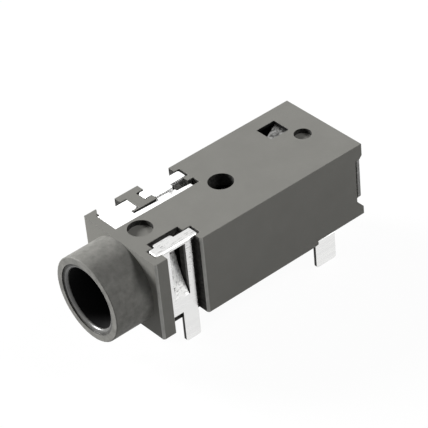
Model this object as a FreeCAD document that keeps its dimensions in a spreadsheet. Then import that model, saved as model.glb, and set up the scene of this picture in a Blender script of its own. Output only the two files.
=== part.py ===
import FreeCAD, Part
import Sketcher
import os
import re

# Audio jack socket for a 3.5 mm plug: one moulded housing and five stamped terminals.
# X runs across the housing, Y runs from the mouth to the rear, Z is up.
# The origin is on the bore axis, in the plane of the flange's front face.

SIZES = {
    # moulded housing
    "body_width": 6.0,
    "body_height": 5.0,
    "body_length": 14.45,
    "flange_thick": 0.84,
    "flange_round": 0.15,
    "barrel_diameter": 5.0,
    "barrel_length": 2.45,
    "barrel_edge": 0.06,
    "bore_diameter": 3.6,
    "guide_rear": 0.4,
    "bore_depth": 11.7,
    "bore_taper": 0.06,
    "bore_end_diameter": 1.6,
    "bore_end_depth": 0.8,
    "mouth_diameter": 4.2,
    "mouth_depth": 0.08,
    "mouth_round": 0.16,
    "corner_round": 0.15,
    "step_length": 3.48,
    "step_height": 0.28,
    "rear_inset": 0.5,
    "top_lip": 0.73,
    "top_lip_slope": 0.2,
    "bottom_lip": 0.86,
    "bottom_lip_inset": 0.05,
    "bottom_lip_flat": 0.15,
    "bottom_lip_drop": 0.34,
    "side_recess": 0.75,
    # round marks and windows in the top face
    "front_mark_place": 1.45,
    "front_mark_diameter": 1.4,
    "front_mark_depth": 0.32,
    "sight_hole_place": 7.0,
    "sight_hole_diameter": 1.44,
    "rear_mark_from_rear": 1.55,
    "rear_mark_diameter": 1.0,
    "rear_mark_depth": 0.3,
    "window_from_rear": 3.05,
    "window_length": 1.25,
    "window_inset": 0.93,
    "window_width": 1.22,
    "window_depth": 0.26,
    # left edge of the strip along the middle of the top face
    "strip_left": 0.85,
    # stamped sheet and its seats
    "sheet": 0.2,
    "seat_gap": 0.02,
    "slot_gap": 0.06,
    "bend_round": 0.12,
    "tab_round": 0.16,
    "leg_depth": 1.53,
    "leg_width": 1.0,
    "leg_round": 0.15,
    # sleeve and ring terminals, made to one pattern
    "sleeve_place": 0.5,
    "ring_place": 3.27,
    "tab_length": 2.85,
    "tab_width": 0.67,
    "lip_width": 0.26,
    "lip_front": 0.46,
    "lip_length": 1.25,
    "lip_drop": 0.03,
    "lip_round": 0.13,
    "plate_front": 0.48,
    "plate_rear": 2.32,
    "recess_front": 0.42,
    "recess_rear": 2.56,
    "shoulder_height": 0.5,
    "leg_front": 1.33,
    "opening_front": 0.88,
    "opening_length": 1.02,
    "opening_bottom": 1.03,
    "spring_mid": 0.75,
    "spring_high": 1.3,
    "spring_top_gap": 0.1,
    "spring_gap": 0.08,
    "spring_slot_bottom": 1.2,
    # how far the spring's rear edge and then its front edge lean inwards
    "lean_low": 0.51,
    "lean_mid": 0.75,
    "lean_high": 0.87,
    "lean_top": 0.885,
    "front_lean_mid": 0.075,
    "front_lean_high": 0.41,
    "front_lean_top": 0.64,
    # ring sense terminal
    "sense_place": 0.52,
    "sense_plate_rear": 2.05,
    "sense_tail_rear": 2.5,
    "sense_tail_inner": 1.5,
    "sense_leg_front": 0.95,
    "island_gap": 0.12,
    "seat_flare": 0.375,
    "arm_width": 0.36,
    "arm_end": 5.9,
    "arm_end_gap": 0.3,
    "arm_drop": 0.16,
    "arm_nose": 1.25,
    "nose_flat": 0.01,
    "arm_flex": 0.5,
    "arm_shoulder_width": 0.2,
    "arm_shoulder_length": 0.8,
    "notch_depth": 1.7,
    # tip terminal with its rear plate
    "rear_plate_inset": 0.07,
    "rear_plate_lift": 0.16,
    "rear_standoff": 0.15,
    "rear_plate_round": 0.35,
    "tip_spring_half": 0.5,
    "tip_contact_place": 8.9,
    "tip_contact_reach": 1.35,
    "tip_nose_length": 1.0,
    "tip_flare": 0.3,
    "tip_root_length": 2.85,
    "tip_lobe_length": 2.35,
    "tip_lobe_slope": 0.9,
    "riser_length": 0.5,
    "flap_gap": 0.03,
    "flap_edge_gap": 0.08,
    "flap_front_gap": 0.15,
    "flap_shoulder": 0.08,
    "flap_nose": 0.62,
    "chamber_wall": 0.58,
    "chamber_gap": 0.22,
    "chamber_nose_gap": 0.5,
    "chamber_inner": 1.0,
    # tip sense terminal at the rear right
    "outrigger_inset": 0.05,
    "outrigger_lead": 0.19,
    "outrigger_length": 1.43,
    "foot_gap": 0.05,
    "shaft_gap": 0.15,
    "relief_depth": 0.05,
}

document = FreeCAD.newDocument("audio_jack_socket")
sheet = document.addObject("Spreadsheet::Sheet", "Sizes")
for row, (alias, size) in enumerate(SIZES.items(), start=1):
    sheet.set("A%d" % row, alias)
    sheet.set("B%d" % row, str(size))
    sheet.setAlias("B%d" % row, alias)
document.recompute()

PLANES = {"x": "YZ_Plane", "y": "XZ_Plane", "z": "XY_Plane"}


def bound(formula):
    """Names the sheet in front of every size in a formula."""
    return re.sub(r"[a-z][a-z_]+", lambda found: "Sizes." + found.group(0), formula)


def value(formula):
    """The present value of a formula over the sheet's sizes."""
    return float(sheet.evalExpression(bound(formula)))


def new_body(name):
    body = document.addObject("PartDesign::Body", name)
    body.Label = name
    return body


def new_sketch(body, name, axis, place):
    """A sketch at right angles to an axis, at a place along it."""
    sketch = body.newObject("Sketcher::SketchObject", name)
    plane = [item for item in body.Origin.OriginFeatures if item.Role == PLANES[axis]][0]
    sketch.AttachmentSupport = (plane, "")
    sketch.MapMode = "FlatFace"
    sign = "-1*" if axis == "y" else ""
    sketch.setExpression("AttachmentOffset.Base.z", bound("%s(%s)" % (sign, place)))
    return sketch


def outline(sketch, corners):
    """Straight edges through corners, each corner tied to the sheet."""
    points = [FreeCAD.Vector(value(across), value(up), 0) for across, up in corners]
    count = len(points)
    for index in range(count):
        sketch.addGeometry(Part.LineSegment(points[index], points[(index + 1) % count]), False)
    for index in range(count):
        sketch.addConstraint(Sketcher.Constraint("Coincident", index, 2, (index + 1) % count, 1))
    for index, corner in enumerate(corners):
        for kind, formula, now in zip(("DistanceX", "DistanceY"), corner, points[index]):
            number = sketch.addConstraint(Sketcher.Constraint(kind, -1, 1, index, 1, now))
            sketch.setExpression("Constraints[%d]" % number, bound(formula))
    return sketch


def circle(sketch, across, up, radius):
    """A circle tied to the sheet by its centre and radius."""
    centre = FreeCAD.Vector(value(across), value(up), 0)
    sketch.addGeometry(Part.Circle(centre, FreeCAD.Vector(0, 0, 1), value(radius)), False)
    rules = [
        (Sketcher.Constraint("DistanceX", -1, 1, 0, 3, centre.x), across),
        (Sketcher.Constraint("DistanceY", -1, 1, 0, 3, centre.y), up),
        (Sketcher.Constraint("Radius", 0, value(radius)), radius),
    ]
    for rule, formula in rules:
        number = sketch.addConstraint(rule)
        sketch.setExpression("Constraints[%d]" % number, bound(formula))
    return sketch


def extend(body, kind, name, axis, start, end, drawing):
    """A Pad or a Pocket between two places along an axis."""
    sketch = new_sketch(body, name + "_sketch", axis, start)
    drawing(sketch)
    feature = body.newObject("PartDesign::" + kind, name)
    feature.Profile = sketch
    feature.setExpression("Length", bound("(%s)-(%s)" % (end, start)))
    points_forward = (axis != "y") == (kind == "Pad")
    feature.Reversed = not points_forward
    sketch.Visibility = False
    return feature


def pad(body, name, axis, start, end, corners):
    return extend(body, "Pad", name, axis, start, end, lambda sketch: outline(sketch, corners))


def pocket(body, name, axis, start, end, corners):
    return extend(body, "Pocket", name, axis, start, end, lambda sketch: outline(sketch, corners))


def round_pocket(body, name, axis, start, end, across, up, radius):
    return extend(body, "Pocket", name, axis, start, end, lambda sketch: circle(sketch, across, up, radius))


def rectangle(across_from, across_to, up_from, up_to):
    return [(across_from, up_from), (across_to, up_from), (across_to, up_to), (across_from, up_to)]


def mirrored(side, corners):
    """Corners seen from above or from the front, moved to the chosen side of the housing."""
    return [("%d*(%s)" % (side, across), up) for across, up in corners]


def side_span(side, inner, outer):
    """The span from inner to outer, in rising order of X, on the chosen side."""
    if side > 0:
        return inner, outer
    return "-1*(%s)" % outer, "-1*(%s)" % inner


def straight_edges(shape, axis, spots):
    """Names of the straight edges along an axis that pass through given spots."""
    others = [index for index in range(3) if index != "xyz".index(axis)]
    names = []
    for number, edge in enumerate(shape.Edges, start=1):
        first, last = edge.Vertexes[0].Point, edge.Vertexes[-1].Point
        along = abs(last["xyz".index(axis)] - first["xyz".index(axis)])
        if along < edge.Length - TOLERANCE:
            continue
        for spot in spots:
            if all(abs(first[index] - value(formula)) < TOLERANCE for index, formula in zip(others, spot)):
                names.append("Edge%d" % number)
                break
    return names


def ring_edges(shape, place, diameter):
    """Names of the circular edges round the bore axis at a place, of a diameter."""
    names = []
    for number, edge in enumerate(shape.Edges, start=1):
        points = [edge.Vertexes[0].Point, edge.valueAt((edge.FirstParameter + edge.LastParameter) / 2)]
        if all(abs(point.y - value(place)) < TOLERANCE and
               abs((point.x ** 2 + point.z ** 2) ** 0.5 - value(diameter) / 2) < TOLERANCE
               for point in points):
            names.append("Edge%d" % number)
    return names


def round_ring(body, name, radius, place, diameter):
    document.recompute()
    return fillet(body, name, radius, ring_edges(body.Shape, place, diameter))


def fillet(body, name, radius, edges):
    """Rounds the named edges of the body as it stands."""
    base = body.Tip
    feature = body.newObject("PartDesign::Fillet", name)
    feature.Base = (base, edges)
    feature.setExpression("Radius", bound(radius))
    return feature


def round_corners(body, name, radius, axis, spots):
    document.recompute()
    return fillet(body, name, radius, straight_edges(body.Shape, axis, spots))


TOLERANCE = 0.002
CUTS = ("PartDesign::Pocket", "PartDesign::Groove")

# lines that several pieces share
SIDE = "body_width/2"
TOP = "body_height/2"
BOTTOM = "-body_height/2"
LEG_TIP = "-body_height/2-leg_depth"
RECESS_FLOOR = "body_width/2-side_recess"
PLATE_INNER = RECESS_FLOOR + "+seat_gap"
PLATE_OUTER = PLATE_INNER + "+sheet"
TAB_INNER = PLATE_OUTER + "-tab_width"
SPRING_HOLLOW = PLATE_INNER + "-lean_top-spring_gap"
SEAT = "body_height/2-sheet-seat_gap"
TAB_UNDER = "body_height/2-sheet"
ISLAND_FRONT = "sense_plate_rear+slot_gap"
ARM_INNER = "strip_left+seat_gap"
ARM_OUTER = ARM_INNER + "+arm_width"
SLOT_END = "arm_end+arm_end_gap"
SHOULDER_FRONT = "ring_place+recess_front+slot_gap"
REAR_WALL = "body_length-rear_inset"
STEP_PLACE = "body_length-step_length"
STEPPED_BOTTOM = "-body_height/2+step_height"
TOP_LIP_UNDER = "body_height/2-top_lip-top_lip_slope"
BOTTOM_LIP_TOP = STEPPED_BOTTOM + "+bottom_lip"
REAR_PLATE_FRONT = REAR_WALL + "+rear_standoff"
REAR_PLATE_TOP = TOP_LIP_UNDER + "-seat_gap"
REAR_PLATE_BOTTOM = BOTTOM_LIP_TOP + "+rear_plate_lift"
WINDOW_FLOOR = "body_height/2-window_depth"
WINDOW_OUTER = "body_width/2-window_inset"
WINDOW_INNER = "window_width-(body_width/2-window_inset)"
WINDOW_FRONT = "body_length-window_from_rear"
WINDOW_ROOF = WINDOW_FLOOR + "+slot_gap"
FLAP_TOP = WINDOW_ROOF + "-flap_gap"
TIP_NOSE = "tip_contact_place-tip_nose_length"
CHAMBER_FRONT = TIP_NOSE + "-chamber_nose_gap"
CHAMBER_HALF = "tip_spring_half+chamber_gap"
CHAMBER_OUTER = "body_width/2-chamber_wall"
SPRING_OUTER = CHAMBER_OUTER + "-slot_gap"
OUTRIGGER_OUTER = "body_width/2-outrigger_inset"
OUTRIGGER_FRONT = STEP_PLACE + "-outrigger_lead"
OUTRIGGER_REAR = OUTRIGGER_FRONT + "+outrigger_length"
FOOT_FRONT = STEP_PLACE + "+foot_gap"


def make_housing():
    body = new_body("housing")
    pad(body, "block", "x", "-" + SIDE, SIDE, [
        ("0", BOTTOM),
        (STEP_PLACE, BOTTOM),
        (STEP_PLACE, STEPPED_BOTTOM),
        ("body_length-bottom_lip_inset", STEPPED_BOTTOM),
        ("body_length-bottom_lip_inset", BOTTOM_LIP_TOP + "-bottom_lip_drop"),
        (REAR_WALL + "+bottom_lip_flat", BOTTOM_LIP_TOP),
        (REAR_WALL, BOTTOM_LIP_TOP),
        (REAR_WALL, TOP_LIP_UNDER),
        ("body_length-top_lip_slope", TOP_LIP_UNDER),
        ("body_length", TOP + "-top_lip"),
        ("body_length", TOP),
        ("0", TOP),
    ])
    extend(body, "Pad", "barrel", "y", "-barrel_length", "0",
           lambda sketch: circle(sketch, "0", "0", "barrel_diameter/2"))
    pad(body, "rear_plate_rest", "y", REAR_WALL, REAR_PLATE_FRONT + "-seat_gap", rectangle(
        "-leg_width/2", "leg_width/2", REAR_PLATE_BOTTOM, "tip_spring_half"))

    # the bore: stepped mouth, straight guide wall through the nose, slight draft, tapered end
    bore_sketch = new_sketch(body, "bore_sketch", "x", "0")
    outline(bore_sketch, [
        ("-barrel_length", "0"),
        ("-barrel_length", "mouth_diameter/2"),
        ("-barrel_length+mouth_depth", "mouth_diameter/2"),
        ("-barrel_length+mouth_depth", "bore_diameter/2"),
        ("guide_rear", "bore_diameter/2"),
        ("bore_depth", "bore_diameter/2-bore_taper/2"),
        ("bore_depth+bore_end_depth", "bore_end_diameter/2"),
        ("bore_depth+bore_end_depth", "0"),
    ])
    bore = body.newObject("PartDesign::Groove", "bore")
    bore.Profile = bore_sketch
    bore.ReferenceAxis = (bore_sketch, ["H_Axis"])
    bore.Angle = 360

    round_ring(body, "mouth_edge", "mouth_round", "-barrel_length+mouth_depth", "bore_diameter")
    round_ring(body, "barrel_rim", "barrel_edge", "-barrel_length", "barrel_diameter")

    # side recesses that hold the upright plates
    for side, name, front, rear in (
            (1, "sleeve_recess", "flange_thick", "sleeve_place+recess_rear"),
            (-1, "sense_recess", "flange_thick", ISLAND_FRONT),
            (-1, "ring_recess", "ring_place+recess_front", "ring_place+recess_rear")):
        pocket(body, name, "z", BOTTOM, TOP,
               mirrored(side, rectangle(RECESS_FLOOR, SIDE, front, rear)))

    # seats of the tabs in the top face, and the hollows their springs move in
    for side, name, place in ((1, "sleeve", "sleeve_place"), (-1, "ring", "ring_place")):
        pocket(body, name + "_seat", "z", SEAT, TOP, mirrored(side, rectangle(
            TAB_INNER + "-slot_gap", PLATE_OUTER + "+seat_gap",
            place + "-slot_gap", place + "+tab_length+slot_gap")))
        pocket(body, name + "_spring_hollow", "z", "-spring_slot_bottom", TOP, mirrored(side, rectangle(
            SPRING_HOLLOW, RECESS_FLOOR,
            place + "+opening_front-slot_gap", place + "+opening_front+opening_length+slot_gap")))
    pocket(body, "sleeve_slot", "z", "0", TOP, rectangle(
        SPRING_HOLLOW, TAB_INNER + "+seat_gap", "flange_thick", "sleeve_place+plate_rear+slot_gap"))
    pocket(body, "ring_notch", "z", TOP + "-notch_depth", TOP, rectangle(
        "-" + SIDE, "-strip_left", "ring_place+recess_front", "ring_place+recess_rear"))
    pocket(body, "sense_seat", "z", SEAT, TOP, [
        ("-(" + PLATE_OUTER + "+slot_gap)-seat_flare", "flange_thick"),
        ("-(" + PLATE_OUTER + "+slot_gap)", "sense_place-seat_gap"),
        ("-strip_left", "sense_place-seat_gap"),
        ("-strip_left", ISLAND_FRONT),
        ("-(" + PLATE_OUTER + "+slot_gap)-seat_flare", ISLAND_FRONT),
    ])
    pocket(body, "sense_tail_seat", "z", SEAT, TOP, rectangle(
        "-(" + PLATE_OUTER + "+seat_gap)", "-sense_tail_inner+seat_gap",
        ISLAND_FRONT, "sense_tail_rear+seat_gap"))
    pocket(body, "arm_slot", "z", TOP + "-arm_flex", TOP, rectangle(
        "-(" + ARM_OUTER + "+island_gap)", "-strip_left", "sense_plate_rear", SLOT_END))
    pocket(body, "arm_nose_slot", "z", "0", TOP, rectangle(
        "-(" + ARM_OUTER + "+slot_gap)", "-strip_left", "arm_end-sheet-slot_gap", SLOT_END))

    # round marks, the sight hole and the window in the top face
    for name, place, diameter, depth in (
            ("front_mark", "front_mark_place", "front_mark_diameter", "front_mark_depth"),
            ("sight_hole", "sight_hole_place", "sight_hole_diameter", TOP),
            ("rear_mark", "body_length-rear_mark_from_rear", "rear_mark_diameter", "rear_mark_depth")):
        round_pocket(body, name, "z", "%s-(%s)" % (TOP, depth), TOP, "0", place, diameter + "/2")
    pocket(body, "tip_window", "z", WINDOW_FLOOR, TOP, rectangle(
        "-(" + WINDOW_OUTER + ")", WINDOW_INNER, WINDOW_FRONT, WINDOW_FRONT + "+window_length"))

    # chambers of the two springs that reach the plug's tip
    pocket(body, "tip_chamber", "z", "-(" + CHAMBER_HALF + ")", CHAMBER_HALF, rectangle(
        "-(" + CHAMBER_OUTER + ")", "-chamber_inner", CHAMBER_FRONT, REAR_WALL))
    pocket(body, "tip_lobe_chamber", "z", CHAMBER_HALF, WINDOW_ROOF, rectangle(
        "-(" + CHAMBER_OUTER + ")", WINDOW_INNER, WINDOW_FRONT, REAR_WALL))
    pocket(body, "sense_chamber", "z", "-(" + CHAMBER_HALF + ")", CHAMBER_HALF, rectangle(
        "chamber_inner", CHAMBER_OUTER, CHAMBER_FRONT, OUTRIGGER_REAR + "+shaft_gap"))
    pocket(body, "sense_shaft", "z", BOTTOM, "-(" + CHAMBER_HALF + ")", rectangle(
        SPRING_OUTER + "-sheet-shaft_gap", CHAMBER_OUTER, STEP_PLACE, OUTRIGGER_REAR + "+shaft_gap"))
    pocket(body, "rear_leg_notch", "y", REAR_WALL, "body_length", rectangle(
        "-leg_width/2-slot_gap", "leg_width/2+slot_gap", STEPPED_BOTTOM, BOTTOM_LIP_TOP))

    # the underside stands clear of the rear right leg, which starts in front of the step
    pocket(body, "leg_relief", "z", BOTTOM, BOTTOM + "+relief_depth", rectangle(
        OUTRIGGER_OUTER + "-sheet-slot_gap", SIDE, OUTRIGGER_FRONT + "-slot_gap", STEP_PLACE))

    # softened corners
    round_corners(body, "block_corner", "corner_round", "z", [(SIDE, "sleeve_place+recess_rear")])
    round_corners(body, "flange_corners", "flange_round", "z", [(SIDE, "0"), ("-" + SIDE, "0")])
    return body


def make_pair_terminal(name, side, place):
    """The sleeve or the ring terminal: tab, upright plate, leg and a spring cut from the plate."""
    body = new_body(name)
    front = place + "+plate_front"
    rear = place + "+plate_rear"
    leg_front = place + "+leg_front"
    opening_front = place + "+opening_front"
    opening_rear = place + "+opening_front+opening_length"
    plate_from, plate_to = side_span(side, PLATE_INNER, PLATE_OUTER)
    pad(body, "plate", "x", plate_from, plate_to, [
        (front, BOTTOM + "+shoulder_height"),
        (leg_front, BOTTOM + "+shoulder_height"),
        (leg_front, LEG_TIP),
        (leg_front + "+leg_width", LEG_TIP),
        (leg_front + "+leg_width", BOTTOM),
        (rear, BOTTOM + "+leg_round"),
        (rear, TOP),
        (front, TOP),
    ])
    pad(body, "tab", "z", TAB_UNDER, TOP, mirrored(side, rectangle(
        TAB_INNER, PLATE_OUTER, place, place + "+tab_length")))
    pad(body, "lip", "z", TAB_UNDER + "-lip_drop", TOP + "-lip_drop", mirrored(side, rectangle(
        TAB_INNER + "-lip_width", TAB_INNER, place + "+lip_front", place + "+lip_front+lip_length")))
    pocket(body, "opening", "x", plate_from, plate_to, rectangle(
        opening_front, opening_rear, "-opening_bottom", TAB_UNDER))

    # the contact spring leans inwards from the foot of the opening
    levels = (
        ("-opening_bottom", "0", "0"),
        ("0", "0", "lean_low"),
        ("spring_mid", "front_lean_mid", "lean_mid"),
        ("spring_high", "front_lean_high", "lean_high"),
        (TAB_UNDER + "-spring_top_gap", "front_lean_top", "lean_top"),
    )
    sections = []
    for number, (level, front_lean, rear_lean) in enumerate(levels):
        section = new_sketch(body, "spring_section_%d" % number, "z", level)
        outline(section, mirrored(side, [
            (PLATE_OUTER + "-" + front_lean, opening_front),
            (PLATE_OUTER + "-" + rear_lean, opening_rear + "-slot_gap"),
            (PLATE_INNER + "-" + rear_lean, opening_rear + "-slot_gap"),
            (PLATE_INNER + "-" + front_lean, opening_front),
        ]))
        sections.append(section)
    spring = body.newObject("PartDesign::AdditiveLoft", "spring")
    spring.Profile = sections[0]
    spring.Sections = sections[1:]
    spring.Ruled = True

    # bends and rounded ends
    round_corners(body, "tab_bend", "bend_round", "y", [("%d*(%s)" % (side, PLATE_OUTER), TOP)])
    round_corners(body, "tab_ends", "tab_round", "z", mirrored(side, [
        (TAB_INNER, place), (PLATE_OUTER, place),
        (TAB_INNER, place + "+tab_length"), (PLATE_OUTER, place + "+tab_length")]))
    round_corners(body, "lip_ends", "lip_round", "z", mirrored(side, [
        (TAB_INNER + "-lip_width", place + "+lip_front"),
        (TAB_INNER + "-lip_width", place + "+lip_front+lip_length")]))
    round_corners(body, "leg_ends", "leg_round", "x", [
        (leg_front, LEG_TIP), (leg_front + "+leg_width", LEG_TIP)])
    return body


def arm_fall(place):
    """How far the long arm has dropped at a place along it."""
    return "arm_drop*(%s-sense_plate_rear)/(arm_end-sense_plate_rear)" % place


def make_ring_sense_terminal():
    """The long-armed terminal behind the flange on the left."""
    body = new_body("ring_sense_terminal")
    pad(body, "cover", "z", TAB_UNDER, TOP, rectangle(
        "-(" + PLATE_OUTER + ")", "-(" + ARM_INNER + ")", "sense_place", "sense_plate_rear"))
    pad(body, "tail", "z", TAB_UNDER, TOP, rectangle(
        "-(" + PLATE_OUTER + ")", "-sense_tail_inner", "sense_plate_rear", "sense_tail_rear"))
    pad(body, "plate", "x", "-(" + PLATE_OUTER + ")", "-(" + PLATE_INNER + ")", [
        ("sense_leg_front", LEG_TIP),
        ("sense_leg_front+leg_width", LEG_TIP),
        ("sense_leg_front+leg_width", TOP),
        ("sense_leg_front", TOP),
    ])
    pad(body, "arm", "x", "-(" + ARM_OUTER + ")", "-(" + ARM_INNER + ")", [
        ("sense_plate_rear", TOP),
        ("arm_end", TOP + "-arm_drop"),
        ("arm_end", "arm_nose"),
        ("arm_end-sheet", "arm_nose"),
        ("arm_end-sheet", TAB_UNDER + "-arm_drop"),
        ("sense_plate_rear", TAB_UNDER),
    ])
    shoulder_rear = SHOULDER_FRONT + "+arm_shoulder_length"
    pad(body, "arm_shoulder", "x", "-(" + ARM_OUTER + "+arm_shoulder_width)", "-(" + ARM_OUTER + ")", [
        (SHOULDER_FRONT, TOP + "-" + arm_fall(SHOULDER_FRONT)),
        (shoulder_rear, TOP + "-" + arm_fall(shoulder_rear)),
        (shoulder_rear, TAB_UNDER + "-" + arm_fall(shoulder_rear)),
        (SHOULDER_FRONT, TAB_UNDER + "-" + arm_fall(SHOULDER_FRONT)),
    ])
    round_corners(body, "cover_bend", "bend_round", "y", [("-(" + PLATE_OUTER + ")", TOP)])
    round_corners(body, "nose_round", "sheet/2-nose_flat", "x", [
        ("arm_end", "arm_nose"), ("arm_end-sheet", "arm_nose")])
    round_corners(body, "leg_ends", "leg_round", "x", [
        ("sense_leg_front", LEG_TIP), ("sense_leg_front+leg_width", LEG_TIP)])
    round_corners(body, "tail_ends", "tab_round", "z", [("-sense_tail_inner", "sense_tail_rear")])
    return body


def spring_outline(side, root):
    """A leaf seen from above: straight root, inward bow to the contact, flared tip."""
    bend = "body_length-tip_root_length"
    return mirrored(side, [
        (SPRING_OUTER, root),
        (SPRING_OUTER, bend),
        ("tip_contact_reach+sheet", "tip_contact_place"),
        ("tip_contact_reach+sheet+tip_flare", TIP_NOSE),
        ("tip_contact_reach+tip_flare", TIP_NOSE),
        ("tip_contact_reach", "tip_contact_place"),
        (SPRING_OUTER + "-sheet", bend),
        (SPRING_OUTER + "-sheet", root),
    ])


def make_tip_terminal():
    """The rear plate with its leg, and the spring that bends forward from its left edge."""
    body = new_body("tip_terminal")
    plate_rear = REAR_PLATE_FRONT + "+sheet"
    plate_right = "body_width/2-rear_plate_inset"
    lobe_front = "body_length-tip_lobe_length"
    lobe_back = lobe_front + "+tip_lobe_slope"
    pad(body, "rear_plate", "y", REAR_PLATE_FRONT, plate_rear, [
        ("-(" + SPRING_OUTER + ")", REAR_PLATE_BOTTOM),
        ("-leg_width/2", REAR_PLATE_BOTTOM),
        ("-leg_width/2", LEG_TIP),
        ("leg_width/2", LEG_TIP),
        ("leg_width/2", REAR_PLATE_BOTTOM),
        (plate_right, REAR_PLATE_BOTTOM),
        (plate_right, REAR_PLATE_TOP),
        ("-(" + SPRING_OUTER + ")", REAR_PLATE_TOP),
    ])
    pad(body, "leaf", "z", "-tip_spring_half", "tip_spring_half", spring_outline(-1, plate_rear))
    pad(body, "lobe", "x", "-(" + SPRING_OUTER + ")", "-(" + SPRING_OUTER + "-sheet)", [
        (plate_rear, "0"),
        (plate_rear, REAR_PLATE_TOP),
        (lobe_back, REAR_PLATE_TOP),
        (lobe_front, "0"),
    ])

    # the flap that shows in the window, carried by a riser on the lobe
    flap_rear = lobe_back + "+riser_length"
    pad(body, "riser", "x", "-(" + SPRING_OUTER + ")", "-(" + SPRING_OUTER + "-sheet)", rectangle(
        lobe_back, flap_rear, "0", FLAP_TOP))
    pad(body, "flap", "z", FLAP_TOP + "-sheet", FLAP_TOP, [
        ("-(" + SPRING_OUTER + ")", lobe_back),
        ("flap_shoulder-(" + WINDOW_OUTER + ")", WINDOW_FRONT + "+window_length-flap_shoulder"),
        ("flap_nose-(" + WINDOW_OUTER + ")", WINDOW_FRONT + "+flap_front_gap"),
        (WINDOW_INNER + "-flap_edge_gap", WINDOW_FRONT + "+flap_front_gap"),
        (WINDOW_INNER + "-flap_edge_gap", lobe_back),
        ("-(" + SPRING_OUTER + "-sheet)", flap_rear),
        ("-(" + SPRING_OUTER + ")", flap_rear),
    ])
    round_corners(body, "flap_bend", "bend_round", "y", [("-(" + SPRING_OUTER + ")", FLAP_TOP)])
    round_corners(body, "rear_bend", "bend_round", "z", [("-(" + SPRING_OUTER + ")", plate_rear)])
    round_corners(body, "plate_corner", "rear_plate_round", "y", [(plate_right, REAR_PLATE_BOTTOM)])
    round_corners(body, "leg_ends", "leg_round", "y", [
        ("-leg_width/2", LEG_TIP), ("leg_width/2", LEG_TIP)])
    return body


def make_tip_sense_terminal():
    """The rear right terminal: leg beside the housing, foot under it, upright and spring inside."""
    body = new_body("tip_sense_terminal")
    foot_top = STEPPED_BOTTOM + "-seat_gap"
    pad(body, "leg", "x", OUTRIGGER_OUTER + "-sheet", OUTRIGGER_OUTER, [
        (OUTRIGGER_FRONT, LEG_TIP),
        (OUTRIGGER_REAR, LEG_TIP),
        (OUTRIGGER_REAR, foot_top),
        (FOOT_FRONT, foot_top),
        (FOOT_FRONT, BOTTOM + "-seat_gap"),
        (OUTRIGGER_FRONT, BOTTOM + "-seat_gap"),
    ])
    pad(body, "foot", "z", foot_top + "-sheet", foot_top, rectangle(
        SPRING_OUTER + "-sheet", OUTRIGGER_OUTER, FOOT_FRONT, OUTRIGGER_REAR))
    pad(body, "upright", "x", SPRING_OUTER + "-sheet", SPRING_OUTER, rectangle(
        FOOT_FRONT, OUTRIGGER_REAR, foot_top + "-sheet", "tip_spring_half"))
    pad(body, "leaf", "z", "-tip_spring_half", "tip_spring_half", spring_outline(1, OUTRIGGER_REAR))
    round_corners(body, "leg_bend", "bend_round", "y", [(OUTRIGGER_OUTER, foot_top)])
    round_corners(body, "upright_bend", "bend_round", "y", [(SPRING_OUTER + "-sheet", foot_top + "-sheet")])
    round_corners(body, "leg_ends", "leg_round", "x", [
        (OUTRIGGER_FRONT, LEG_TIP), (OUTRIGGER_REAR, LEG_TIP)])
    return body


pieces = [
    make_housing(),
    make_pair_terminal("sleeve_terminal", 1, "sleeve_place"),
    make_pair_terminal("ring_terminal", -1, "ring_place"),
    make_ring_sense_terminal(),
    make_tip_terminal(),
    make_tip_sense_terminal(),
]
document.recompute()

for item in document.Objects:
    if "Invalid" in item.State or "Error" in item.State:
        raise RuntimeError("%s failed: %s" % (item.Name, item.State))
for piece in pieces:
    if piece.Shape.isNull() or not piece.Shape.isValid() or len(piece.Shape.Solids) != 1:
        raise RuntimeError("%s is not one sound solid" % piece.Label)
    before = None
    for feature in piece.Group:
        if feature.TypeId == "Sketcher::SketchObject":
            continue
        volume = feature.Shape.Volume
        if before is not None and "Pad" in feature.TypeId and volume <= before:
            raise RuntimeError("%s adds nothing to %s" % (feature.Name, piece.Label))
        if before is not None and feature.TypeId in CUTS and volume >= before:
            raise RuntimeError("%s cuts nothing from %s" % (feature.Name, piece.Label))
        before = volume

os.makedirs("parts", exist_ok=True)
for piece in pieces:
    piece.Shape.exportStep("parts/%s.step" % piece.Label)
    print(piece.Label, round(piece.Shape.Volume, 3))
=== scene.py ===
import math
import bpy
from mathutils import Matrix, Vector


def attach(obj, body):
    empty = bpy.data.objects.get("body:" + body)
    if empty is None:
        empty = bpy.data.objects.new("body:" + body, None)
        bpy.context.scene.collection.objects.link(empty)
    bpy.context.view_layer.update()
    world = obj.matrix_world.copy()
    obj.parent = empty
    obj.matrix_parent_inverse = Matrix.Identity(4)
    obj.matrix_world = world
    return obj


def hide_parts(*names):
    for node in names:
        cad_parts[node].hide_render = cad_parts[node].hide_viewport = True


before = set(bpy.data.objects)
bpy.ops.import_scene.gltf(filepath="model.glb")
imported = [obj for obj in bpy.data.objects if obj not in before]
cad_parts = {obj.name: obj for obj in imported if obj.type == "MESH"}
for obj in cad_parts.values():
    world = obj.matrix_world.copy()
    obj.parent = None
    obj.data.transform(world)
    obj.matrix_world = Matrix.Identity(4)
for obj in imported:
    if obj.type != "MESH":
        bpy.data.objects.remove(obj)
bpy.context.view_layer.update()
mm = 0.001
meshRules = {  # lengths in mm, angles in degrees
    "mergeWithin": 0.001,
    "flatAngle": 0.5,
    "sharpAngle": 50,
    "smoothAngle": 42,
    "bevelSegments": 2,
    "square": 0.999,  # the share of a normal along one axis, from which a face counts as square
}


def onlySelect(piece):
    bpy.ops.object.select_all(action="DESELECT")
    bpy.context.view_layer.objects.active = piece
    piece.select_set(True)


def startEditing(piece, mode="FACE"):
    onlySelect(piece)
    bpy.ops.object.mode_set(mode="EDIT")
    bpy.ops.mesh.select_mode(type=mode)
    bpy.ops.mesh.select_all(action="DESELECT")


def stopEditing():
    bpy.ops.object.mode_set(mode="OBJECT")


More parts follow.
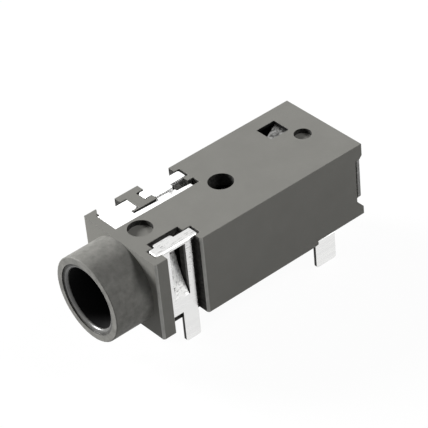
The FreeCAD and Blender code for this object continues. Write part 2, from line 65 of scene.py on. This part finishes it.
def addPiece(piece, slotName, *nodeNames):  # rides on the one body and stands for its nodes
    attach(piece, "root")
    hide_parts(*nodeNames)


def mergedCopy(nodeName, pieceName):  # a node's own loose triangles, joined up again
    piece = bpy.data.objects.new(pieceName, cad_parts[nodeName].data.copy())
    bpy.context.scene.collection.objects.link(piece)
    piece.data.materials.clear()
    onlySelect(piece)
    bpy.ops.mesh.customdata_custom_splitnormals_clear()
    startEditing(piece)
    bpy.ops.mesh.select_all(action="SELECT")
    bpy.ops.mesh.remove_doubles(threshold=meshRules["mergeWithin"] * mm)
    bpy.ops.mesh.dissolve_limited(angle_limit=math.radians(meshRules["flatAngle"]))
    stopEditing()
    return piece


def roundEdges(piece, width, wanted):  # the small radius that a mould or a press leaves
    startEditing(piece, "EDGE")
    bpy.ops.mesh.edges_select_sharp(sharpness=math.radians(meshRules["sharpAngle"]))
    stopEditing()
    for edge in piece.data.edges:
        ends = [piece.data.vertices[number].co / mm for number in edge.vertices]
        edge.select = edge.select and wanted(*ends)
    bpy.ops.object.mode_set(mode="EDIT")
    bpy.ops.mesh.bevel(offset=width * mm, segments=meshRules["bevelSegments"], affect="EDGES",
                       clamp_overlap=False)
    stopEditing()


def shadeRounds(piece, isRound):  # smooth on round forms only, so that plane faces stay even
    onlySelect(piece)
    bpy.ops.object.shade_smooth_by_angle(angle=math.radians(meshRules["smoothAngle"]))
    for face in piece.data.polygons:
        face.use_smooth = isRound(face.center / mm, face.normal)


def isSquare(normal):
    return max(abs(part) for part in normal) > meshRules["square"]


def newMaterial(name):
    material = bpy.data.materials.new(name)
    material.use_nodes = True
    return material, material.node_tree.nodes, material.node_tree.links


def noise(nodes, links, source, size, detail=3.0, rough=0.55):  # size of one blotch, in mm
    texture = nodes.new("ShaderNodeTexNoise")
    texture.inputs["Scale"].default_value = 1.0 / (size * mm)
    texture.inputs["Detail"].default_value = detail
    texture.inputs["Roughness"].default_value = rough
    links.new(source, texture.inputs["Vector"])
    return texture.outputs["Fac"]


def spread(nodes, links, source, low, high, fromLow=0.3, fromHigh=0.7):  # stretches a value's range
    node = nodes.new("ShaderNodeMapRange")
    node.inputs["From Min"].default_value = fromLow
    node.inputs["From Max"].default_value = fromHigh
    node.inputs["To Min"].default_value = low
    node.inputs["To Max"].default_value = high
    links.new(source, node.inputs["Value"])
    return node.outputs["Result"]


def mixColours(nodes, links, factor, first, second):  # each a colour or another node's output
    node = nodes.new("ShaderNodeMix")
    node.data_type = "RGBA"
    links.new(factor, node.inputs["Factor"])
    for colour, socket in ((first, node.inputs["A"]), (second, node.inputs["B"])):
        if isinstance(colour, tuple):
            socket.default_value = (*colour, 1.0)
        else:
            links.new(colour, socket)
    return node.outputs["Result"]


bumpStrength = 0.5


def makePlastic(name, look):  # cloudy tone, fine grain in colour and bump
    material, nodes, links = newMaterial(name)
    shader = nodes["Principled BSDF"]
    shader.inputs["Specular IOR Level"].default_value = look["shine"]
    place = nodes.new("ShaderNodeTexCoord").outputs["Object"]
    cloud = noise(nodes, links, place, look["cloudSize"])
    grain = noise(nodes, links, place, look["grainSize"], detail=4.0, rough=0.6)
    cloudShare = spread(nodes, links, cloud, 0, 1)
    clouded = mixColours(nodes, links, cloudShare, look["darker"], look["paler"])
    grainShare = spread(nodes, links, grain, 0, look["grainShare"])
    speckled = mixColours(nodes, links, grainShare, clouded, look["colour"])
    links.new(speckled, shader.inputs["Base Color"])
    links.new(spread(nodes, links, grain, *look["roughness"]), shader.inputs["Roughness"])
    bump = nodes.new("ShaderNodeBump")
    bump.inputs["Strength"].default_value = bumpStrength
    bump.inputs["Distance"].default_value = look["grainDepth"] * mm
    links.new(grain, bump.inputs["Height"])
    links.new(bump.outputs["Normal"], shader.inputs["Normal"])
    return material


plasticLooks = {  # sizes and depths in mm
    "mouldedPlastic": {
        "colour": (0.236, 0.233, 0.216), "paler": (0.25, 0.247, 0.229), "darker": (0.222, 0.219, 0.203),
        "cloudSize": 1.6, "grainSize": 0.09, "grainShare": 0.8, "grainDepth": 0.005,
        "roughness": (0.55, 0.7), "shine": 0.2,
    },
    # paler, glossier plastic on the rounded upright corners: a painted highlight where the rounds catch
    # the light
    "paintedEdgeHighlight": {
        "colour": (0.42, 0.415, 0.385), "paler": (0.48, 0.475, 0.44), "darker": (0.33, 0.325, 0.3),
        "cloudSize": 0.5, "grainSize": 0.07, "grainShare": 0.6, "grainDepth": 0.004,
        "roughness": (0.26, 0.4), "shine": 1.0,
    },
    # a darker copy of the moulded plastic for the nose: the darker base is painted shade, the blotches
    # random tone
    "paintedShadeNose": {
        "colour": (0.222, 0.219, 0.204), "paler": (0.264, 0.261, 0.243), "darker": (0.17, 0.168, 0.157),
        "cloudSize": 0.38, "grainSize": 0.09, "grainShare": 0.25, "grainDepth": 0.01,
        "roughness": (0.52, 0.68), "shine": 0.15,
    },
    # near-black plastic on the bore and the window walls: painted shade, where these hollows lie in
    # shade
    "paintedHollowShade": {
        "colour": (0.006, 0.006, 0.006), "paler": (0.009, 0.009, 0.009), "darker": (0.004, 0.004, 0.004),
        "cloudSize": 0.6, "grainSize": 0.12, "grainShare": 0.5, "grainDepth": 0.004,
        "roughness": (0.6, 0.75), "shine": 0.1,
    },
    # dark plastic for the mouth's rounding: painted shade inside the mouth, with a real gloss
    "paintedShadeMouthBand": {
        "colour": (0.08, 0.079, 0.074), "paler": (0.11, 0.108, 0.1), "darker": (0.03, 0.03, 0.028),
        "cloudSize": 0.3, "grainSize": 0.08, "grainShare": 0.4, "grainDepth": 0.001,
        "roughness": (0.28, 0.38), "shine": 1.0,
    },
    # dark speckled plastic on upright walls inside the block: painted shade in the recesses
    "paintedCavityShade": {
        "colour": (0.03, 0.03, 0.028), "paler": (0.09, 0.088, 0.083), "darker": (0.008, 0.008, 0.008),
        "cloudSize": 0.16, "grainSize": 0.07, "grainShare": 0.5, "grainDepth": 0.006,
        "roughness": (0.6, 0.75), "shine": 0.1,
    },
    # dark plastic for the flat shelf in the mouth: painted shade inside the mouth
    "paintedShadeMouthShelf": {
        "colour": (0.08, 0.079, 0.074), "paler": (0.13, 0.128, 0.12), "darker": (0.025, 0.025, 0.023),
        "cloudSize": 0.16, "grainSize": 0.07, "grainShare": 0.4, "grainDepth": 0.003,
        "roughness": (0.4, 0.55), "shine": 0.4,
    },
    "noseRim": {
        "colour": (0.225, 0.222, 0.207), "paler": (0.29, 0.286, 0.266), "darker": (0.155, 0.153, 0.143),
        "cloudSize": 0.5, "grainSize": 0.09, "grainShare": 0.5, "grainDepth": 0.01,
        "roughness": (0.5, 0.66), "shine": 0.2,
    },
}


def makeMetal(name, look):  # faint rolling lines along the strip, and scuffs
    material, nodes, links = newMaterial(name)
    shader = nodes["Principled BSDF"]
    place = nodes.new("ShaderNodeTexCoord").outputs["Object"]
    along = nodes.new("ShaderNodeMapping")
    along.inputs["Scale"].default_value = (1.0, 1.0 / look["stretch"], 1.0)
    links.new(place, along.inputs["Vector"])
    rolling = noise(nodes, links, along.outputs["Vector"], look["lineSize"])
    scuff = noise(nodes, links, along.outputs["Vector"], look["scuffSize"], detail=5.0, rough=0.65)
    rollingShare = spread(nodes, links, rolling, 0, 1)
    toned = mixColours(nodes, links, rollingShare, look["duller"], look["colour"])
    scuffShare = spread(nodes, links, scuff, 0, 1, *look["scuffFrom"])
    scuffed = mixColours(nodes, links, scuffShare, toned, look["scuffed"])
    links.new(scuffed, shader.inputs["Base Color"])
    shader.inputs["Metallic"].default_value = 1.0
    links.new(spread(nodes, links, rolling, *look["roughness"]), shader.inputs["Roughness"])
    return material


metalLooks = {  # stretch lengthens the lines and scuffs along the strip
    "platedStrip": {
        "colour": (0.85, 0.85, 0.84), "duller": (0.79, 0.79, 0.785), "scuffed": (0.6, 0.6, 0.59),
        "lineSize": 0.16, "stretch": 10.0, "scuffSize": 0.3, "scuffFrom": (0.66, 0.85),
        "roughness": (0.2, 0.3),
    },
    # a near-white copy of the plating for the ring tabs: painted light
    "paintedLightStrip": {
        "colour": (0.99, 0.99, 0.985), "duller": (0.96, 0.96, 0.955), "scuffed": (0.9, 0.9, 0.895),
        "lineSize": 0.16, "stretch": 10.0, "scuffSize": 0.3, "scuffFrom": (0.66, 0.8),
        "roughness": (0.5, 0.62),
    },
    # a dark copy of the plating for the tip terminal's flap under the window: painted shade, with random
    # scuffs
    "paintedShadeScuffedStrip": {
        "colour": (0.44, 0.44, 0.43), "duller": (0.22, 0.22, 0.215), "scuffed": (0.08, 0.08, 0.078),
        "lineSize": 0.18, "stretch": 1.5, "scuffSize": 0.16, "scuffFrom": (0.44, 0.6),
        "roughness": (0.35, 0.5),
    },
    "rubbedStrip": {
        "colour": (0.83, 0.83, 0.82), "duller": (0.77, 0.77, 0.765), "scuffed": (0.42, 0.42, 0.415),
        "lineSize": 0.14, "stretch": 7.0, "scuffSize": 0.07, "scuffFrom": (0.56, 0.62),
        "roughness": (0.2, 0.32),
    },
    "softStrip": {
        "colour": (0.95, 0.95, 0.94), "duller": (0.78, 0.78, 0.77), "scuffed": (0.45, 0.45, 0.445),
        "lineSize": 0.22, "stretch": 2.0, "scuffSize": 0.14, "scuffFrom": (0.5, 0.68),
        "roughness": (0.62, 0.8),
    },
    "shearedEdge": {
        "colour": (0.05, 0.049, 0.047), "duller": (0.02, 0.02, 0.019), "scuffed": (0.09, 0.089, 0.086),
        "lineSize": 0.1, "stretch": 2.0, "scuffSize": 0.12, "scuffFrom": (0.55, 0.75),
        "roughness": (0.5, 0.65),
    },
    "cutRim": {
        "colour": (0.2, 0.199, 0.195), "duller": (0.13, 0.129, 0.126), "scuffed": (0.3, 0.299, 0.294),
        "lineSize": 0.1, "stretch": 2.0, "scuffSize": 0.12, "scuffFrom": (0.55, 0.75),
        "roughness": (0.4, 0.55),
    },
}

plastics = {name: makePlastic(name, look) for name, look in plasticLooks.items()}
metals = {name: makeMetal(name, look) for name, look in metalLooks.items()}
print("materials made")

housingShape = {  # in mm, the radii around the plug's axis
    "edgeRadius": 0.03,
    "sides": (-3.0, 3.0),
    "ends": (14.45,),  # the rear end only
    "levels": (2.5, -2.5, -2.22),  # top, underside and stepped underside
    "onFace": 0.002,  # how near counts as on a face
    "boreRadius": 1.83,
    "mouthRadius": 2.15,
    "noseRadius": 2.55,
    "rimFront": -2.44,
    "bandRear": -2.2,
    "noseRear": -0.001,
    "markReach": 0.75,
    "markLevel": 0.5,
    "sideFrom": 2.8,
    "insideReach": (2.99, 2.49),  # across and up
    "insideFrom": 0.9,
    "insideTo": 13.9,
    "windowFront": 9.5,
}
facing = {  # shares of a normal along one axis
    "straight": 0.99,
    "mostly": 0.9,
    "halfway": 0.5,
    "slanted": 0.15,
    "hardly": 0.1,
}


def onTwoFaces(first, second):  # an edge where two of the block's outer faces meet
    shared = 0
    for axis, spots in enumerate((housingShape["sides"], housingShape["ends"], housingShape["levels"])):
        for spot in spots:
            shared += all(abs(end[axis] - spot) < housingShape["onFace"] for end in (first, second))
    return shared > 1


def housingRound(centre, normal):
    reach = math.hypot(centre.x, centre.z)
    inNose = reach < housingShape["noseRadius"] and centre.y < 0
    inBore = reach < housingShape["boreRadius"]
    inMark = (abs(centre.x) < housingShape["markReach"] and centre.z > housingShape["markLevel"]
              and abs(normal.z) < facing["halfway"])
    turned = (inNose or inBore or inMark) and abs(normal.y) < meshRules["square"]
    return turned or not isSquare(normal)


def isInside(centre):  # in the spaces within the block
    across, up = housingShape["insideReach"]
    return (abs(centre.x) < across and abs(centre.z) < up
            and housingShape["insideFrom"] < centre.y < housingShape["insideTo"])


def housingFinish(centre, normal):  # the plastic that a face shows
    reach = math.hypot(centre.x, centre.z)
    if centre.y < housingShape["rimFront"] and normal.y < -facing["straight"]:
        return "noseRim"
    inBand = centre.y < housingShape["bandRear"]
    behindBand = centre.y > housingShape["bandRear"]
    # the bore's wall takes the near-black plastic: painted shade
    if reach < housingShape["boreRadius"] and behindBand and abs(normal.y) < facing["mostly"]:
        return "paintedHollowShade"
    # the mouth's rounding and shelf take dark plastics: painted shade inside the mouth
    if reach < housingShape["mouthRadius"] and inBand:
        return "paintedShadeMouthShelf" if abs(normal.y) > facing["straight"] else "paintedShadeMouthBand"
    # the nose takes the darker plastic: painted shade
    if reach < housingShape["noseRadius"] and centre.y < housingShape["noseRear"]:
        return "paintedShadeNose"
    # the rounded upright corners at the sides take the paler plastic: a painted highlight
    slanted = min(abs(normal.x), abs(normal.y)) > facing["slanted"] and abs(normal.z) < facing["hardly"]
    if slanted and abs(centre.x) > housingShape["sideFrom"]:
        return "paintedEdgeHighlight"
    # upright walls inside the block take dark plastics: painted shade
    if isInside(centre) and abs(normal.z) < facing["halfway"] and normal.y < facing["mostly"]:
        besideMarks = abs(centre.x) > housingShape["markReach"]
        # walls within the window take the near-black plastic: painted shade
        inWindow = centre.y > housingShape["windowFront"] and centre.z > 0 and besideMarks
        return "paintedHollowShade" if inWindow else "paintedCavityShade"
    return "mouldedPlastic"


housing = mergedCopy("housing", "housingMoulding")
plasticSlots = list(plasticLooks)
for name in plasticSlots:
    housing.data.materials.append(plastics[name])
roundEdges(housing, housingShape["edgeRadius"], onTwoFaces)
shadeRounds(housing, housingRound)
for face in housing.data.polygons:
    face.material_index = plasticSlots.index(housingFinish(face.center / mm, face.normal))
addPiece(housing, "moulding", "housing")
print("housing finished")

stripShapes = {  # cutAxis is the axis across which the shears cut
    "sleeve_terminal": {"top": "rubbedStrip", "inner": "softStrip", "cutAxis": 1},
    # the ring tabs take the near-white plating: painted light
    "ring_terminal": {"top": "paintedLightStrip", "inner": "softStrip", "cutAxis": 1},
    "ring_sense_terminal": {"top": "paintedLightStrip", "inner": "platedStrip", "cutAxis": 1},
    # the tip terminal's flap takes the dark plating: painted shade
    "tip_terminal": {"top": "paintedShadeScuffedStrip", "inner": "platedStrip", "cutAxis": 0},
    "tip_sense_terminal": {"top": "platedStrip", "inner": "platedStrip", "cutAxis": 1},
}
stripRegions = {  # in mm, but for the two shares of a normal
    "edgeRadius": 0.015,
    "shortestRound": 0.06,  # edges up to this length stay sharp
    "topLevel": 1.6,
    "legLevel": -2.3,
    "innerReach": 2.2,
    "across": 0.9,
    "twist": 0.03,
}
stripSlots = ("platedStrip", "top", "inner", "shearedEdge", "cutRim")


def stripFinish(shape, centre, normal):  # the slot that a face belongs to
    across = abs(normal[shape["cutAxis"]]) > stripRegions["across"]
    if centre.z > stripRegions["topLevel"]:
        return "top"
    if across and shape["cutAxis"] == 1 and centre.z < stripRegions["legLevel"]:
        return "shearedEdge"
    if across:
        return "cutRim"
    twisted = min(abs(part) for part in normal) > stripRegions["twist"]
    return "inner" if twisted or abs(centre.x) < stripRegions["innerReach"] else "platedStrip"


def isLongEdge(first, second):
    return (first - second).length > stripRegions["shortestRound"]


def finishStrip(nodeName, shape):
    strip = mergedCopy(nodeName, nodeName + "_strip")
    for slotName in stripSlots:  # the strip's own finish for its top and inner faces
        strip.data.materials.append(metals[shape.get(slotName, slotName)])
    roundEdges(strip, stripRegions["edgeRadius"], isLongEdge)
    shadeRounds(strip, lambda centre, normal: not isSquare(normal))
    for face in strip.data.polygons:
        face.material_index = stripSlots.index(stripFinish(shape, face.center / mm, face.normal))
    addPiece(strip, "plated_strip", nodeName)


for nodeName, shape in stripShapes.items():
    finishStrip(nodeName, shape)
print("terminals finished")

for nodeName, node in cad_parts.items():
    plain = plastics["mouldedPlastic"] if nodeName == "housing" else metals["platedStrip"]
    node.data.materials.clear()
    node.data.materials.append(plain)

stageLook = {  # lengths in mm, angles in degrees
    "floorSize": 800,
    "floorLevel": -4.03,
    "floorRoughness": 0.9,
    "floorColour": (0.35, 0.35, 0.35),
    "glow": 1.125,
    "glowShare": 0.85,
    "skyOnObject": 0.035,
    "lamps": {
        "keyLight": {"strength": 5.5, "spreadAngle": 26, "towards": (-0.84, -0.42, 0.38)},
        "topLight": {"strength": 1.05, "spreadAngle": 20, "towards": (0.42, 0.5, 0.76)},
        "sideLight": {"strength": 0.45, "spreadAngle": 30, "towards": (0.8, 0.58, 0.1)},
    },
}


def seenDirectly(nodes, links):  # one for what the camera sees, also in reflection or through glass
    path = nodes.new("ShaderNodeLightPath")
    result = path.outputs["Is Camera Ray"]
    for other in ("Is Glossy Ray", "Is Transmission Ray"):
        either = nodes.new("ShaderNodeMath")
        either.operation = "MAXIMUM"
        links.new(result, either.inputs[0])
        links.new(path.outputs[other], either.inputs[1])
        result = either.outputs[0]
    return result


def makeFloor():
    bpy.ops.mesh.primitive_plane_add(size=stageLook["floorSize"] * mm,
                                     location=(0, 0, stageLook["floorLevel"] * mm))
    floor = bpy.context.active_object
    floor.name = "floor"
    material, nodes, links = newMaterial("paleFloor")
    shader = nodes["Principled BSDF"]
    shader.inputs["Base Color"].default_value = (*stageLook["floorColour"], 1.0)
    shader.inputs["Roughness"].default_value = stageLook["floorRoughness"]
    glow = nodes.new("ShaderNodeEmission")
    glow.inputs["Strength"].default_value = stageLook["glow"]
    blend = nodes.new("ShaderNodeMixShader")
    share = spread(nodes, links, seenDirectly(nodes, links), 0.0, stageLook["glowShare"], 0.0, 1.0)
    links.new(share, blend.inputs["Fac"])
    links.new(shader.outputs["BSDF"], blend.inputs[1])
    links.new(glow.outputs["Emission"], blend.inputs[2])
    links.new(blend.outputs["Shader"], nodes["Material Output"].inputs["Surface"])
    floor.data.materials.append(material)


def makeSky():
    world = bpy.data.worlds.new("studio")
    bpy.context.scene.world = world
    world.use_nodes = True
    nodes, links = world.node_tree.nodes, world.node_tree.links
    background = nodes["Background"]
    background.inputs["Color"].default_value = (1.0, 1.0, 1.0, 1.0)
    strength = spread(nodes, links, seenDirectly(nodes, links), stageLook["skyOnObject"], 1.0, 0.0, 1.0)
    links.new(strength, background.inputs["Strength"])


def makeLamp(name, look):  # shines from the side that towards points to
    light = bpy.data.lights.new(name, "SUN")
    light.energy = look["strength"]
    light.angle = math.radians(look["spreadAngle"])
    lamp = bpy.data.objects.new(name, light)
    bpy.context.scene.collection.objects.link(lamp)
    lamp.rotation_euler = Vector(look["towards"]).to_track_quat("Z", "Y").to_euler()


makeFloor()
makeSky()
for name, look in stageLook["lamps"].items():
    makeLamp(name, look)

cameraView = {  # fitted to the photograph's corners, lengths in mm
    "azimuth": 52.96,
    "elevation": 37.567,
    "roll": -5.808,
    "distance": 118.44,
    "aim": (-0.162, 6.454, 0.524),
    "lens": 185.75,
    "sensorWidth": 36,
    "nearest": 10,
}


def makeCamera():
    data = bpy.data.cameras.new("photoCamera")
    data.sensor_width = cameraView["sensorWidth"]
    data.lens = cameraView["lens"]
    data.clip_start = cameraView["nearest"] * mm
    camera = bpy.data.objects.new("photoCamera", data)
    bpy.context.scene.collection.objects.link(camera)
    azimuth, elevation = math.radians(cameraView["azimuth"]), math.radians(cameraView["elevation"])
    back = Vector((math.sin(azimuth) * math.cos(elevation),
                   -math.cos(azimuth) * math.cos(elevation), math.sin(elevation)))
    turn = (Matrix.Rotation(azimuth, 4, "Z") @ Matrix.Rotation(math.pi / 2 - elevation, 4, "X")
            @ Matrix.Rotation(math.radians(cameraView["roll"]), 4, "Z"))
    place = (Vector(cameraView["aim"]) + back * cameraView["distance"]) * mm
    camera.matrix_world = Matrix.Translation(place) @ turn
    bpy.context.scene.camera = camera


makeCamera()
bpy.context.scene.view_settings.view_transform = "Standard"
print("floor, light and camera placed")
